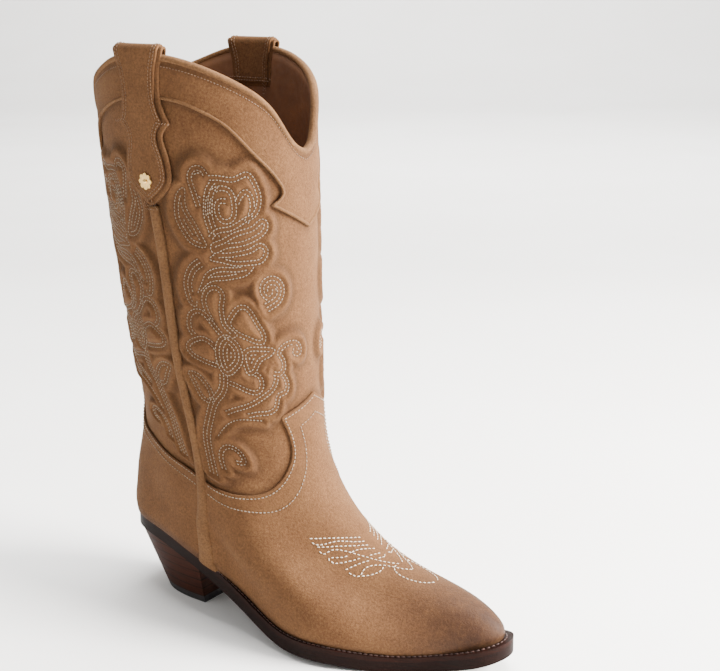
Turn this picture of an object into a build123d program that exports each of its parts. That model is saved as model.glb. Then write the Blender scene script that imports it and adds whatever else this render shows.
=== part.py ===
from build123d import *

import math
import os

import numpy as np

# Western boot for the right foot. Millimetres, +X to the toe, +Y to the inner side, +Z up.
# The boot's own drawing starts at the back of the heel; every piece is then moved back by
# HEEL_CENTRE, so that the origin is on the floor under the middle of the heel cap.
HEEL_CENTRE = 47.0

# Driving dimensions: the thickness of each layer, counted outward from the inside of the upper.
LINING = 1.1
UPPER = 1.4
OVERLAY = 1.4
STRAP = 1.6
STRAP_BACKING = 0.7
LINING_IN = -LINING
OVERLAY_IN = UPPER
OVERLAY_OUT = UPPER + OVERLAY
BINDING_OUT = OVERLAY_OUT + STRAP_BACKING
STRAP_OUT = BINDING_OUT + STRAP
BINDING_DEPTH = 3.4
PIPING_OUT = OVERLAY_OUT + 1.5
PIPING_WIDTH = 5.0
TOE_PUFF_FROM = 205.0

# The bottom, downward from the feather line, where the upper meets the welt.
WELT = 2.8
SOLE = 9.5
WELT_INSET = 7.0
INSOLE = 2.2
SOCK = 2.2
SHANK = 1.5
SHANK_WIDTH = 14.0
SHANK_FROM, SHANK_TO = 42.0, 150.0
LEDGE_HEEL = 1.8
LEDGE_SIDE = 5.5
LEDGE_TOE = 11.0

# The heel: a straight breast, a back that slopes forward on its way down, and a rubber cap.
HEEL_BREAST = 69.0
HEEL_FLOOR_BACK = 25.0
HEEL_FLOOR_HALF = 22.5
HEEL_SEAT_BACK = 2.5
HEEL_SEAT_HALF = 33.0
HEEL_SEAT_Z = 42.0
HEEL_ROUND = 2.4
CAP = 4.5
LIFT = 6.0
LIFTS = 6
NAIL_PLACES = [(20, 0), (36, -13), (36, 13), (56, -14), (56, 14)]
NAIL_RADIUS = 1.1
NAIL_FROM, NAIL_TO = 12.0, 42.0
PINS = 7
PIN_RADIUS = 0.8
PIN_LENGTH = 10.0
PIN_ARC_CENTRE = 52.0
PIN_ARC = (20.0, 16.0)

BELOW = -30.0
ABOVE = 400.0
REACH = 400.0


def smooth(xs, ys):
    """A natural cubic spline through the points, as a function."""
    xs = np.asarray(xs, float)
    ys = np.asarray(ys, float)
    count = len(xs)
    step = np.diff(xs)
    matrix = np.eye(count)
    right = np.zeros(count)
    for i in range(1, count - 1):
        matrix[i, i - 1 : i + 2] = step[i - 1], 2 * (step[i - 1] + step[i]), step[i]
        right[i] = 6 * ((ys[i + 1] - ys[i]) / step[i] - (ys[i] - ys[i - 1]) / step[i - 1])
    bend = np.linalg.solve(matrix, right)

    def value(x):
        x = np.asarray(x, float)
        i = np.clip(np.searchsorted(xs, x) - 1, 0, count - 2)
        a = x - xs[i]
        b = xs[i + 1] - x
        h = step[i]
        cubic = (bend[i] * b**3 + bend[i + 1] * a**3) / (6 * h)
        return cubic + (ys[i] / h - bend[i] * h / 6) * b + (ys[i + 1] / h - bend[i + 1] * h / 6) * a

    return value


# Height of the feather line along the foot: heel seat, arch, ball and toe spring.
feather = smooth([-8, 38, 72, 107, 146, 180, 219, 272], [50.6, 47.5, 40.5, 28.0, 14.0, 12.5, 9.6, 22.0])

# The form, ring by ring from the feather line to the top of the shaft: level, back x, back z,
# front x, front z, width factor, share of the shaft's oval, share of the feather line's bend.
RINGS = np.array([
    [0.00, 4.0, 50.0, 262.0, 19.5, 1.01, 0.00, 1.00],
    [0.04, 3.5, 56.0, 265.5, 25.0, 1.05, 0.00, 1.00],
    [0.12, 5.0, 68.0, 251.5, 37.0, 1.04, 0.10, 0.90],
    [0.21, 7.0, 82.0, 223.5, 44.0, 0.99, 0.25, 0.75],
    [0.30, 10.5, 98.0, 190.0, 53.0, 0.91, 0.50, 0.50],
    [0.39, 13.5, 116.0, 160.0, 75.0, 0.83, 0.75, 0.25],
    [0.48, 12.0, 136.0, 142.0, 107.0, 0.81, 0.92, 0.10],
    [0.57, 8.5, 160.0, 137.0, 144.0, 0.84, 1.00, 0.00],
    [0.68, 2.0, 200.0, 136.0, 192.5, 0.89, 1.00, 0.00],
    [0.79, -4.0, 245.0, 134.5, 243.0, 0.95, 1.00, 0.00],
    [0.90, -8.0, 295.0, 132.5, 296.0, 1.03, 1.00, 0.00],
    [1.00, -10.5, 345.0, 130.5, 347.0, 1.08, 1.00, 0.00],
])
ring_values = [smooth(RINGS[:, 0], RINGS[:, column]) for column in range(1, 8)]
FOOT_SHARE = [0, 0.10, 0.25, 0.42, 0.56, 0.67, 0.80, 0.92, 1]
foot_half_width = smooth(FOOT_SHARE, [59, 44, 37, 31, 39, 44, 35.5, 27, 28.5])
foot_middle = smooth([0, 0.2, 0.42, 0.66, 0.85, 1], [2.5, 0, -4.5, -2, 1.5, 4])
SHAFT_HALF_WIDTH = 47.0


def form(level, angle):
    """A point on the inside of the upper; angle 0 is the front, pi the back, (0, pi) the outer side."""
    back_x, back_z, front_x, front_z, width, oval, bend = [f(level) for f in ring_values]
    share = (1 + np.cos(angle)) / 2
    x = back_x + (front_x - back_x) * share
    half = width * ((1 - oval) * foot_half_width(share) + oval * SHAFT_HALF_WIDTH)
    y = -np.sin(angle) * half + (1 - oval) * foot_middle(share)
    first = RINGS[0]
    foot_x = first[1] + (first[3] - first[1]) * share
    sag = feather(foot_x) - (first[2] + (first[4] - first[2]) * share)
    z = back_z + (front_z - back_z) * share + bend * sag
    return np.stack(np.broadcast_arrays(x, y, z), -1)


def form_at(level, angle, offset):
    """A point of the form moved outward along its normal."""
    tiny = 1e-3
    across = form(level, angle + tiny) - form(level, angle - tiny)
    along = form(level + tiny, angle) - form(level - tiny, angle)
    normal = np.cross(across, along)
    normal = normal / np.linalg.norm(normal, axis=-1, keepdims=True)
    return form(level, angle) - offset * normal


LEVELS = [0, 0.04, 0.08, 0.12, 0.165, 0.21, 0.255, 0.30, 0.345, 0.39, 0.435, 0.48, 0.525]
LEVELS += [0.57, 0.625, 0.68, 0.735, 0.79, 0.845, 0.90, 0.95, 1.0, 1.06]
ANGLES = np.radians(np.arange(180, 540, 9))
RING_BOTTOMS = (-20.0, 2.0)
RING_TOP = 395.0


def closed_wire(points):
    """A smooth closed wire through the points."""
    return Wire([Edge.make_spline([Vector(*p) for p in points], periodic=True)])


def body(offset):
    """The solid inside the form moved outward by offset, longer than the boot at both ends."""
    first = form_at(LEVELS[0], ANGLES, offset)
    rings = []
    for bottom in RING_BOTTOMS:
        rings.append([(x, y, min(bottom, z - 4.0)) for x, y, z in first])
    rings += [form_at(level, ANGLES, offset) for level in LEVELS]
    rings.append([(x, y, RING_TOP) for x, y, z in rings[-1]])
    return Solid.make_loft([closed_wire(ring) for ring in rings], ruled=True)


def layer(inner, outer):
    """The shell between two offsets of the form."""
    return bodies[outer] - bodies[inner]


# Lines on the boot are drawn from the side (x, z), and near its front and back from the front
# (y, z). Each line is given as stretches that meet at corners.
SIDE_FROM, SIDE_TO = 8.0, 118.0
TOP_SIDE = [[(8, 326), (21, 334), (37, 340.5), (58, 343.5), (77, 342.5), (92, 339), (108, 332), (118, 325)]]
TOP_FRONT = [[(-29, 325), (-20, 315), (-12, 301), (-6, 293), (0, 290)]]
TOP_BACK = [[(-34, 326), (-24, 312), (-13, 300), (-6, 294.5), (0, 292)]]
COLLAR_SIDE = [[(8, 296), (21, 308), (37, 315), (55, 318.5), (73, 318.5), (85, 316.5), (97, 311.5),
                (108, 304), (118, 290)]]
COLLAR_FRONT = [[(-29, 290), (-24, 282.5), (-18, 273), (-16, 266.5), (-18, 263), (-21.5, 260)],
                [(-21.5, 260), (0, 245.5)]]
COLLAR_BACK = [[(-34, 296), (-26, 285), (-19, 276), (-16.5, 269.5), (-18.5, 266), (-22, 262.5)],
               [(-22, 262.5), (0, 249)]]
FOXING_FROM, FOXING_TO = 24.0, 124.0
FOXING_SIDE = [[(24, 112.5), (38, 107.5), (53, 102), (66, 98.5), (80, 94.5), (94, 89.5), (106, 87.2),
                (115, 87), (124, 89.5)]]
FOXING_FRONT = [[(-29.5, 89.5), (-25, 93.5), (-19, 103.5), (-16, 113.5), (-16.5, 123.5), (-19.5, 135)],
                [(-19.5, 135), (0, 147)]]
FOXING_BACK = [[(-20.5, 112.5), (-15, 118), (-12.5, 124), (-13.5, 131)], [(-13.5, 131), (0, 139)]]
SEAM = [(61.5, 262), (63, 250), (64.5, 238), (68, 197), (72.5, 157), (79.5, 121.5), (84.5, 91), (84, 65),
        (83, 25)]
STRAP_OUTLINE = [(20, 352), (15.5, 335), (14.2, 325), (15, 314), (18.7, 305), (13.3, 298), (14.5, 290),
                 (16.4, 280), (15.4, 271), (9.5, 264), (0, 257)]
STRAP_CORNERS = (4, 10)
STRAP_X = 61.5
STRAP_LEAN = 0.04
STRAP_INSIDE_Z = 318.0
BACKING_MARGIN = 1.2
PIPING_TOP = 255.0
PIPING_FLARE = 5.0

# The shaft panels end here, under the vamp and the foxing.
SHAFT_FLOOR = [(-60, 101), (24, 101), (38, 96.5), (53, 91), (66, 87.5), (80, 83.5), (94, 79), (106, 76.5),
               (115, 76), (124, 78), (136, 82), (200, 84), (320, 84)]

# The rosette on the outer strap.
CONCHO_PLACE = (60.45, -52.2, 271.6)
CONCHO_FACING = (-0.03, -1.0, -0.08)
CONCHO_PETALS = 8
CONCHO_PLATE = 1.0


def mirrored(stretches):
    """The stretches and their mirror image, from the outer side to the inner side."""
    back = [[(-a, b) for a, b in reversed(stretch)] for stretch in reversed(stretches)]
    return stretches + back


def moved(stretches, lift):
    """The stretches moved up."""
    return [[(a, b + lift) for a, b in stretch] for stretch in stretches]


def outline(stretches, floor):
    """A face under the stretches, down to a level line."""
    start = stretches[0][0]
    end = stretches[-1][-1]
    edges = [Spline(*stretch) if len(stretch) > 2 else Line(*stretch) for stretch in stretches]
    edges.append(Polyline(end, (end[0], floor), (start[0], floor), start))
    return make_face(edges)


def below(side, front, back, x_from, x_to, lift=0.0):
    """Everything below a line round the boot."""
    middle = extrude(Plane.XZ * outline(moved(side, lift), BELOW), REACH, both=True)
    ahead = extrude(Plane.YZ.offset(x_to) * ends(front, lift), REACH)
    behind = extrude(Plane.YZ.offset(x_from) * ends(back, lift), -REACH)
    return middle + ahead + behind


def ends(stretches, lift):
    """The face below a mirrored line, with level shoulders out to both sides."""
    line = moved(mirrored(stretches), lift)
    (a, b), (c, d) = line[0][0], line[-1][-1]
    return outline([[(-REACH / 2, b), (a, b)]] + line + [[(c, d), (REACH / 2, d)]], BELOW)


def band(lower, upper):
    """Everything between the feather line moved down by two amounts."""
    xs = np.linspace(-20.0, 285.0, 24)
    top = [(x, float(feather(x)) - upper) for x in xs]
    bottom = [(x, float(feather(x)) - lower) for x in reversed(xs)]
    edges = [Spline(*top), Line(top[-1], bottom[0]), Spline(*bottom), Line(bottom[-1], top[0])]
    return extrude(Plane.XZ * make_face(edges), REACH, both=True)


def slab(x_from, x_to, z_from=BELOW, z_to=ABOVE, y_from=-REACH / 2, y_to=REACH / 2):
    """A block between stations."""
    size = (x_to - x_from, y_to - y_from, z_to - z_from)
    middle = ((x_from + x_to) / 2, (y_from + y_to) / 2, (z_from + z_to) / 2)
    return Pos(*middle) * Box(*size)


def seam_side(reach):
    """Everything from the side seam to a station far ahead of it, or far behind it."""
    line = [(SEAM[0][0], ABOVE)] + SEAM + [(SEAM[-1][0], BELOW)]
    edges = [Line(line[0], line[1]), Spline(*SEAM), Line(line[-2], line[-1])]
    edges.append(Polyline(line[-1], (reach, BELOW), (reach, ABOVE), line[0]))
    return extrude(Plane.XZ * make_face(edges), REACH, both=True)


def seam_strip():
    """The strip of the side piping, seen from the side, with a flare at the sole."""
    half = PIPING_WIDTH / 2
    front = [(x + half, z) for x, z in SEAM]
    front[-2] = (front[-2][0] + 0.1 * PIPING_FLARE, front[-2][1])
    front[-1] = (front[-1][0] + PIPING_FLARE, front[-1][1])
    behind = [(x - half, z) for x, z in reversed(SEAM)]
    edges = [Spline(*front), Line(front[-1], behind[0]), Spline(*behind), Line(behind[-1], front[0])]
    return extrude(Plane.XZ * make_face(edges), REACH, both=True)


def strap_face(grow, top):
    """The strap's outline seen from the side, grown evenly, up to a level top."""
    centre = [STRAP_X - STRAP_LEAN * (z - STRAP_OUTLINE[-1][1]) for _, z in STRAP_OUTLINE]
    edges = []
    for side in (-1, 1):
        points = [(c + side * (half + grow), z) for c, (half, z) in zip(centre, STRAP_OUTLINE)]
        points[-1] = (centre[-1], STRAP_OUTLINE[-1][1] - 1.5 * grow)
        first, last = STRAP_CORNERS
        edges.append(Spline(*points[: first + 1]))
        edges.append(Spline(*points[first : last + 1]))
        edges.append(Line(points[0], (points[0][0], top)))
    left = centre[0] - STRAP_OUTLINE[0][0] - grow
    right = centre[0] + STRAP_OUTLINE[0][0] + grow
    edges.append(Line((left, top), (right, top)))
    return make_face(edges)


def strap_prism(grow, z_from=BELOW):
    """The strap's outline as a block across the boot."""
    prism = extrude(Plane.XZ * strap_face(grow, ABOVE), REACH, both=True)
    return prism & slab(-REACH, REACH, z_from=z_from)


def plan_ring(offset_at):
    """The feather line seen from above, moved outward by an amount that depends on x."""
    points = form(0.0, ANGLES)[:, :2]
    tangent = np.roll(points, -1, 0) - np.roll(points, 1, 0)
    normal = np.stack([tangent[:, 1], -tangent[:, 0]], -1)
    normal /= np.linalg.norm(normal, axis=1, keepdims=True)
    if ((points - points.mean(0)) * normal).sum() < 0:
        normal = -normal
    return [tuple(p + n * offset_at(p[0])) for p, n in zip(points, normal)]


def ledge(x):
    """How far the sole's edge stands out from the feather line."""
    waist = np.clip((x - 70.0) / 45.0, 0, 1)
    toe = np.clip((x - 235.0) / 27.0, 0, 1)
    rise = waist * waist * (3 - 2 * waist)
    return LEDGE_HEEL + (LEDGE_SIDE - LEDGE_HEEL) * rise + (LEDGE_TOE - LEDGE_SIDE) * toe * toe * (3 - 2 * toe)


def column(offset_at):
    """A block with the feather line's plan outline."""
    wire = closed_wire([(x, y, BELOW) for x, y in plan_ring(offset_at)])
    return Solid.extrude(Face(wire), Vector(0, 0, ABOVE / 2))


def heel_ring(height):
    """The heel's outline at a height."""
    share = height / HEEL_SEAT_Z
    back = HEEL_FLOOR_BACK + (HEEL_SEAT_BACK - HEEL_FLOOR_BACK) * share
    half = HEEL_FLOOR_HALF + (HEEL_SEAT_HALF - HEEL_FLOOR_HALF) * share
    middle = float(foot_middle(0.1)) * share
    points = []
    for turn in np.radians(np.arange(-90, 91, 10)):
        along = abs(math.cos(turn)) ** (2 / HEEL_ROUND)
        across = math.copysign(abs(math.sin(turn)) ** (2 / HEEL_ROUND), turn)
        points.append((HEEL_BREAST - (HEEL_BREAST - back) * along, middle + half * across, height))
    edge = Edge.make_spline([Vector(*p) for p in points])
    return Wire([edge, Edge.make_line(Vector(*points[-1]), Vector(*points[0]))])


def save(name, shape):
    """Writes one piece, moved to the part's own origin."""
    solids = [solid.moved(Location((-HEEL_CENTRE, 0, 0))) for solid in shape.solids()]
    keep = [solid for solid in solids if solid.volume > 1.0]
    piece = keep[0] if len(keep) == 1 else Compound(children=keep)
    export_step(piece, f"parts/{name}.step")
    print(name, len(keep), round(sum(solid.volume for solid in keep)))


os.makedirs("parts", exist_ok=True)
OFFSETS = (LINING_IN - STRAP, LINING_IN, 0.0, UPPER, OVERLAY_OUT, BINDING_OUT, PIPING_OUT, STRAP_OUT)
bodies = {offset: body(offset) for offset in OFFSETS}

# Regions that several pieces share.
top = below(TOP_SIDE, TOP_FRONT, TOP_BACK, SIDE_FROM, SIDE_TO)
under_binding = below(TOP_SIDE, TOP_FRONT, TOP_BACK, SIDE_FROM, SIDE_TO, lift=-BINDING_DEPTH)
under_collar = below(COLLAR_SIDE, COLLAR_FRONT, COLLAR_BACK, SIDE_FROM, SIDE_TO)
under_foxing = below(FOXING_SIDE, FOXING_FRONT, FOXING_BACK, FOXING_FROM, FOXING_TO)
above_feather = band(-ABOVE, 0.0)
outer_half = slab(-REACH, REACH, y_to=0.0)
inner_half = slab(-REACH, REACH, y_from=0.0)
under_shaft = extrude(Plane.XZ * outline([SHAFT_FLOOR], BELOW), REACH, both=True)
seam_gap = seam_strip()
ahead_of_seam = seam_side(REACH)
behind_seam = seam_side(-REACH)




def make_upper():
    """The outer leather: shaft panels, vamp, heel foxing and collars."""
    panels = (layer(0.0, UPPER) & under_binding) - under_shaft
    save("front_shaft_panel", panels & ahead_of_seam)
    save("back_shaft_panel", panels & behind_seam)
    overlay = layer(OVERLAY_IN, OVERLAY_OUT)
    low = (overlay & under_foxing & above_feather) - seam_gap
    save("vamp", low & ahead_of_seam)
    save("heel_foxing", low & behind_seam)
    high = (overlay & under_binding) - under_collar
    save("front_collar", high & ahead_of_seam)
    save("back_collar", high & behind_seam)


def make_trim():
    """The side piping, and the binding round the top."""
    strip = layer(OVERLAY_IN, PIPING_OUT) & seam_gap & above_feather
    strip = strip - slab(-REACH, REACH, z_from=PIPING_TOP)
    save("side_piping_outer", strip & outer_half)
    save("side_piping_inner", strip & inner_half)
    ring = (layer(LINING_IN, BINDING_OUT) & top) - under_binding
    save("front_top_binding", ring & ahead_of_seam)
    save("back_top_binding", ring & behind_seam)


def make_lining():
    """The linings, and the stiffeners between lining and upper in the foot."""
    lining = layer(LINING_IN, 0.0)
    shaft = (lining & under_binding) - under_shaft
    save("front_shaft_lining", shaft & ahead_of_seam)
    save("back_shaft_lining", shaft & behind_seam)
    foot = under_shaft & above_feather
    save("foot_lining", lining & foot)
    between = layer(0.0, UPPER) & foot
    save("toe_puff", between & slab(TOE_PUFF_FROM, REACH))
    save("heel_counter", between & behind_seam)
    save("vamp_interlining", (between & ahead_of_seam) - slab(TOE_PUFF_FROM, REACH))


def concho():
    """A small domed rosette with eight petals and a post, facing out from the outer strap."""
    shape = Cylinder(3.3, CONCHO_PLATE)
    for index in range(CONCHO_PETALS):
        shape += Rot(0, 0, index * 360 / CONCHO_PETALS) * Pos(3.5, 0, 0) * Cylinder(1.35, CONCHO_PLATE)
    dome = (Sphere(1.4) & Pos(0, 0, 5) * Box(10, 10, 10)).solids()[0]
    shape += Pos(0, 0, CONCHO_PLATE / 2) * dome
    post = Pos(0, 0, -2.0) * Cylinder(0.9, 3.2)
    facing = Plane(origin=CONCHO_PLACE, x_dir=(1, 0, 0), z_dir=CONCHO_FACING)
    return facing * (shape + post)


def make_straps():
    """The two pull straps with their backings, and the rosette on the outer one."""
    strap_top = below(moved(TOP_SIDE, STRAP), TOP_FRONT, TOP_BACK, SIDE_FROM, SIDE_TO)
    outline_block = strap_prism(0.0)
    outer_leg = layer(BINDING_OUT, STRAP_OUT) & outline_block & strap_top
    inner_leg = layer(LINING_IN - STRAP, LINING_IN) & outline_block & strap_top
    inner_leg = inner_leg & slab(-REACH, REACH, z_from=STRAP_INSIDE_Z)
    bridge = (layer(LINING_IN - STRAP, STRAP_OUT) & outline_block & strap_top) - top
    strap = outer_leg + inner_leg + bridge
    backing_block = strap_prism(BACKING_MARGIN)
    backing = layer(OVERLAY_OUT, BINDING_OUT) & backing_block & under_binding
    backing += layer(UPPER, OVERLAY_OUT) & backing_block & under_collar
    badge = concho()
    save("concho", badge)
    save("pull_strap_outer", (strap & outer_half) - badge)
    save("pull_strap_inner", strap & inner_half)
    save("strap_backing_outer", (backing & outer_half) - badge)
    save("strap_backing_inner", backing & inner_half)


def make_bottom():
    """Insole, sock, filler, shank, welt, heel rand and outsole."""
    inside = bodies[LINING_IN]
    nails = heel_nails()
    save("insole_board", (inside & band(0.0, -INSOLE)) - nails)
    save("sock_liner", inside & band(-INSOLE, -INSOLE - SOCK))
    plan = column(ledge)
    ring = plan & band(WELT, 0.0)
    core = column(lambda x: -WELT_INSET)
    rim = ring - core
    save("welt", rim & slab(HEEL_BREAST, REACH))
    save("heel_rand", rim & slab(-REACH, HEEL_BREAST))
    shank = band(WELT, WELT - SHANK) & slab(SHANK_FROM, SHANK_TO, y_from=-SHANK_WIDTH / 2, y_to=SHANK_WIDTH / 2)
    save("steel_shank", shank - nails)
    save("cork_filler", (core & band(WELT, 0.0)) - shank - nails)
    sole = (plan & band(SOLE, WELT)) - slab(-REACH, REACH, z_to=0.0)
    save("outsole", sole - nails)


def heel_nails():
    """The nails that hold the heel, driven from inside the boot."""
    middle = (NAIL_FROM + NAIL_TO) / 2
    nails = [Pos(x, y, middle) * Cylinder(NAIL_RADIUS, NAIL_TO - NAIL_FROM) for x, y in NAIL_PLACES]
    return nails[0] + nails[1:]


def cap_pins():
    """The pins that hold the heel cap, on an arc."""
    pins = []
    for turn in np.linspace(-1.25, 1.25, PINS):
        x = PIN_ARC_CENTRE - PIN_ARC[0] * math.cos(turn)
        y = PIN_ARC[1] * math.sin(turn)
        pins.append(Pos(x, y, 0.5 + PIN_LENGTH / 2) * Cylinder(PIN_RADIUS, PIN_LENGTH))
    return pins[0] + pins[1:]


def make_heel():
    """The stacked heel: level lifts under the curved seat, and the cap on the floor."""
    stack = Solid.make_loft([heel_ring(0.0), heel_ring(HEEL_SEAT_Z + 10.0)], ruled=True)
    stack = stack & band(80.0, SOLE)
    nails = heel_nails()
    pins = cap_pins()
    save("heel_nails", nails & band(80.0, -INSOLE))
    save("heel_cap_pins", pins)
    save("heel_cap", (stack & slab(-REACH, REACH, z_to=CAP)) - pins)
    for number in range(LIFTS):
        low = CAP + number * LIFT
        high = low + LIFT if number < LIFTS - 1 else ABOVE
        lift = stack & slab(-REACH, REACH, z_from=low, z_to=high)
        save(f"heel_lift_{number + 1}", lift - pins - nails)


make_upper()
make_trim()
make_lining()
make_straps()
make_bottom()
make_heel()
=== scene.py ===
import math

import bpy
import numpy as np
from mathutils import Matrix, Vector


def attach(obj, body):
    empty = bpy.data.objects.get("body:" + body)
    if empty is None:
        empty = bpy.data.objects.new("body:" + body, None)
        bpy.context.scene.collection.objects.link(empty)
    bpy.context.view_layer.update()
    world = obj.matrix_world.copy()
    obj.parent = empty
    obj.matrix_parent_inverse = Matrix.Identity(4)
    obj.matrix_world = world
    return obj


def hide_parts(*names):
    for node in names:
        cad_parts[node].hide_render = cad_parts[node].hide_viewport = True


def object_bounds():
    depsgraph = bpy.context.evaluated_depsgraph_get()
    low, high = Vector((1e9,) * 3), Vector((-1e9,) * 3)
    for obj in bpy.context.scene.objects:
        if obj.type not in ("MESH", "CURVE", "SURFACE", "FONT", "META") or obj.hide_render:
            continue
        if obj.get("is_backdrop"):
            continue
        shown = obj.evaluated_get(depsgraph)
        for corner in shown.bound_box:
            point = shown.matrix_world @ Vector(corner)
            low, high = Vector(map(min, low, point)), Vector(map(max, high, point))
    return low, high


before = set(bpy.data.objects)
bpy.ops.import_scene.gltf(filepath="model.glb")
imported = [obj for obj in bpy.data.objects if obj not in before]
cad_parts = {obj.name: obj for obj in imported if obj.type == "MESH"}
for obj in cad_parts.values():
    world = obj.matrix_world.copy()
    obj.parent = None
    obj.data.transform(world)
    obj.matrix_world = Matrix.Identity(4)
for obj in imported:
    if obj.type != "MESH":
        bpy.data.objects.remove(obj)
cad_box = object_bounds()
random = np.random.default_rng(7)

# The boot's form is repeated here in millimetres, from the back of the heel, as it is drawn in CAD.
HEEL_CENTRE = 47.0
MM = 0.001
INSOLE = 2.2
SOCK = 2.2

# Offsets from the inside of the upper, outward.
LINING_IN = -1.1
UPPER = 1.4
OVERLAY = 2.8
BACKING = 4.0
STRAP = 5.2
PIPING = 4.5
BINDING_OUT = 3.7
PIPING_WIDTH = 5.0
PIPING_TOP = 258.5
LINING_LOW = 130.0
CAP = 4.5
LIFT = 6.0

# All leather is laid out flat: 50 mm for each radian round the boot, 350 mm from sole to top.
ROUND = 50.0
HIGH = 350.0

# Stitches: their pitch and length, the distance between rows of the motif, and its padding.
STITCH = 2.0
STITCH_LENGTH = 1.5
ROW = 1.9
RELIEF = 2.3


def smooth(xs, ys):
    """A natural cubic spline through the points, as a function."""
    xs = np.asarray(xs, float)
    ys = np.asarray(ys, float)
    count = len(xs)
    step = np.diff(xs)
    matrix = np.eye(count)
    right = np.zeros(count)
    for i in range(1, count - 1):
        matrix[i, i - 1 : i + 2] = step[i - 1], 2 * (step[i - 1] + step[i]), step[i]
        right[i] = 6 * ((ys[i + 1] - ys[i]) / step[i] - (ys[i] - ys[i - 1]) / step[i - 1])
    bend = np.linalg.solve(matrix, right)

    def value(x):
        x = np.asarray(x, float)
        i = np.clip(np.searchsorted(xs, x) - 1, 0, count - 2)
        a = x - xs[i]
        b = xs[i + 1] - x
        h = step[i]
        cubic = (bend[i] * b**3 + bend[i + 1] * a**3) / (6 * h)
        return cubic + (ys[i] / h - bend[i] * h / 6) * b + (ys[i + 1] / h - bend[i + 1] * h / 6) * a

    return value


# Height of the feather line along the foot: heel seat, arch, ball and toe spring.
feather = smooth([-8, 38, 72, 107, 146, 180, 219, 272], [50.6, 47.5, 40.5, 28.0, 14.0, 12.5, 9.6, 22.0])

# The form, ring by ring from the feather line to the top of the shaft: level, back x, back z,
# front x, front z, width factor, share of the shaft's oval, share of the feather line's bend.
RINGS = np.array([
    [0.00, 4.0, 50.0, 262.0, 19.5, 1.01, 0.00, 1.00],
    [0.04, 3.5, 56.0, 265.5, 25.0, 1.05, 0.00, 1.00],
    [0.12, 5.0, 68.0, 251.5, 37.0, 1.04, 0.10, 0.90],
    [0.21, 7.0, 82.0, 223.5, 44.0, 0.99, 0.25, 0.75],
    [0.30, 10.5, 98.0, 190.0, 53.0, 0.91, 0.50, 0.50],
    [0.39, 13.5, 116.0, 160.0, 75.0, 0.83, 0.75, 0.25],
    [0.48, 12.0, 136.0, 142.0, 107.0, 0.81, 0.92, 0.10],
    [0.57, 8.5, 160.0, 137.0, 144.0, 0.84, 1.00, 0.00],
    [0.68, 2.0, 200.0, 136.0, 192.5, 0.89, 1.00, 0.00],
    [0.79, -4.0, 245.0, 134.5, 243.0, 0.95, 1.00, 0.00],
    [0.90, -8.0, 295.0, 132.5, 296.0, 1.03, 1.00, 0.00],
    [1.00, -10.5, 345.0, 130.5, 347.0, 1.08, 1.00, 0.00],
])
ring_values = [smooth(RINGS[:, 0], RINGS[:, column]) for column in range(1, 8)]
FOOT_SHARE = [0, 0.10, 0.25, 0.42, 0.56, 0.67, 0.80, 0.92, 1]
foot_half_width = smooth(FOOT_SHARE, [59, 44, 37, 31, 39, 44, 35.5, 27, 28.5])
foot_middle = smooth([0, 0.2, 0.42, 0.66, 0.85, 1], [2.5, 0, -4.5, -2, 1.5, 4])
SHAFT_HALF_WIDTH = 47.0


def form(level, angle):
    """A point on the inside of the upper; angle 0 is the front, pi the back, (0, pi) the outer side."""
    back_x, back_z, front_x, front_z, width, oval, bend = [f(level) for f in ring_values]
    share = (1 + np.cos(angle)) / 2
    x = back_x + (front_x - back_x) * share
    half = width * ((1 - oval) * foot_half_width(share) + oval * SHAFT_HALF_WIDTH)
    y = -np.sin(angle) * half + (1 - oval) * foot_middle(share)
    first = RINGS[0]
    foot_x = first[1] + (first[3] - first[1]) * share
    sag = feather(foot_x) - (first[2] + (first[4] - first[2]) * share)
    z = back_z + (front_z - back_z) * share + bend * sag
    return np.stack(np.broadcast_arrays(x, y, z), -1)


def form_normal(level, angle):
    """The form's outward normal."""
    tiny = 1e-3
    across = form(level, angle + tiny) - form(level, angle - tiny)
    along = form(level + tiny, angle) - form(level - tiny, angle)
    normal = np.cross(across, along)
    return -normal / np.linalg.norm(normal, axis=-1, keepdims=True)


def form_at(level, angle, offset):
    """A point of the form moved outward along its normal."""
    return form(level, angle) + np.asarray(offset)[..., None] * form_normal(level, angle)


def surface(flat, offset):
    """Points of the flat layout, on the boot at an offset."""
    flat = np.asarray(flat, float)
    return form_at(flat[..., 1] / HIGH, flat[..., 0] / ROUND, offset)


def halve(low, high, height, target):
    """The value between low and high at which a rising height reaches its target."""
    low = np.full(np.shape(target), float(low))
    high = np.full(np.shape(target), float(high))
    for _ in range(36):
        middle = (low + high) / 2
        under = height(middle) < target
        low = np.where(under, middle, low)
        high = np.where(under, high, middle)
    return middle


def from_side(points):
    """Points (x, z) of the side view, in the flat layout of the outer side."""
    x, z = np.asarray(points, float).T

    def angle_at(level):
        back, front = ring_values[0](level), ring_values[2](level)
        return np.arccos(np.clip(2 * (x - back) / (front - back) - 1, -1, 1))

    level = halve(-0.02, 1.06, lambda t: form(t, angle_at(t))[..., 2], z)
    return np.stack([ROUND * angle_at(level), HIGH * level], -1)


def from_end(points, back=False):
    """Points (y, z) of the front or back view, in the flat layout of the outer side."""
    y, z = np.asarray(points, float).T

    def angle_at(level):
        angle = np.full(np.shape(y), math.pi if back else 0.0)
        for _ in range(12):
            share = (1 + np.cos(angle)) / 2
            oval = ring_values[5](level)
            half = ring_values[4](level) * ((1 - oval) * foot_half_width(share) + oval * SHAFT_HALF_WIDTH)
            turn = np.arcsin(np.clip(-y / half, -1, 1))
            angle = math.pi - turn if back else turn
        return angle

    level = halve(0.2, 1.06, lambda t: form(t, angle_at(t))[..., 2], z)
    return np.stack([ROUND * angle_at(level), HIGH * level], -1)


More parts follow.
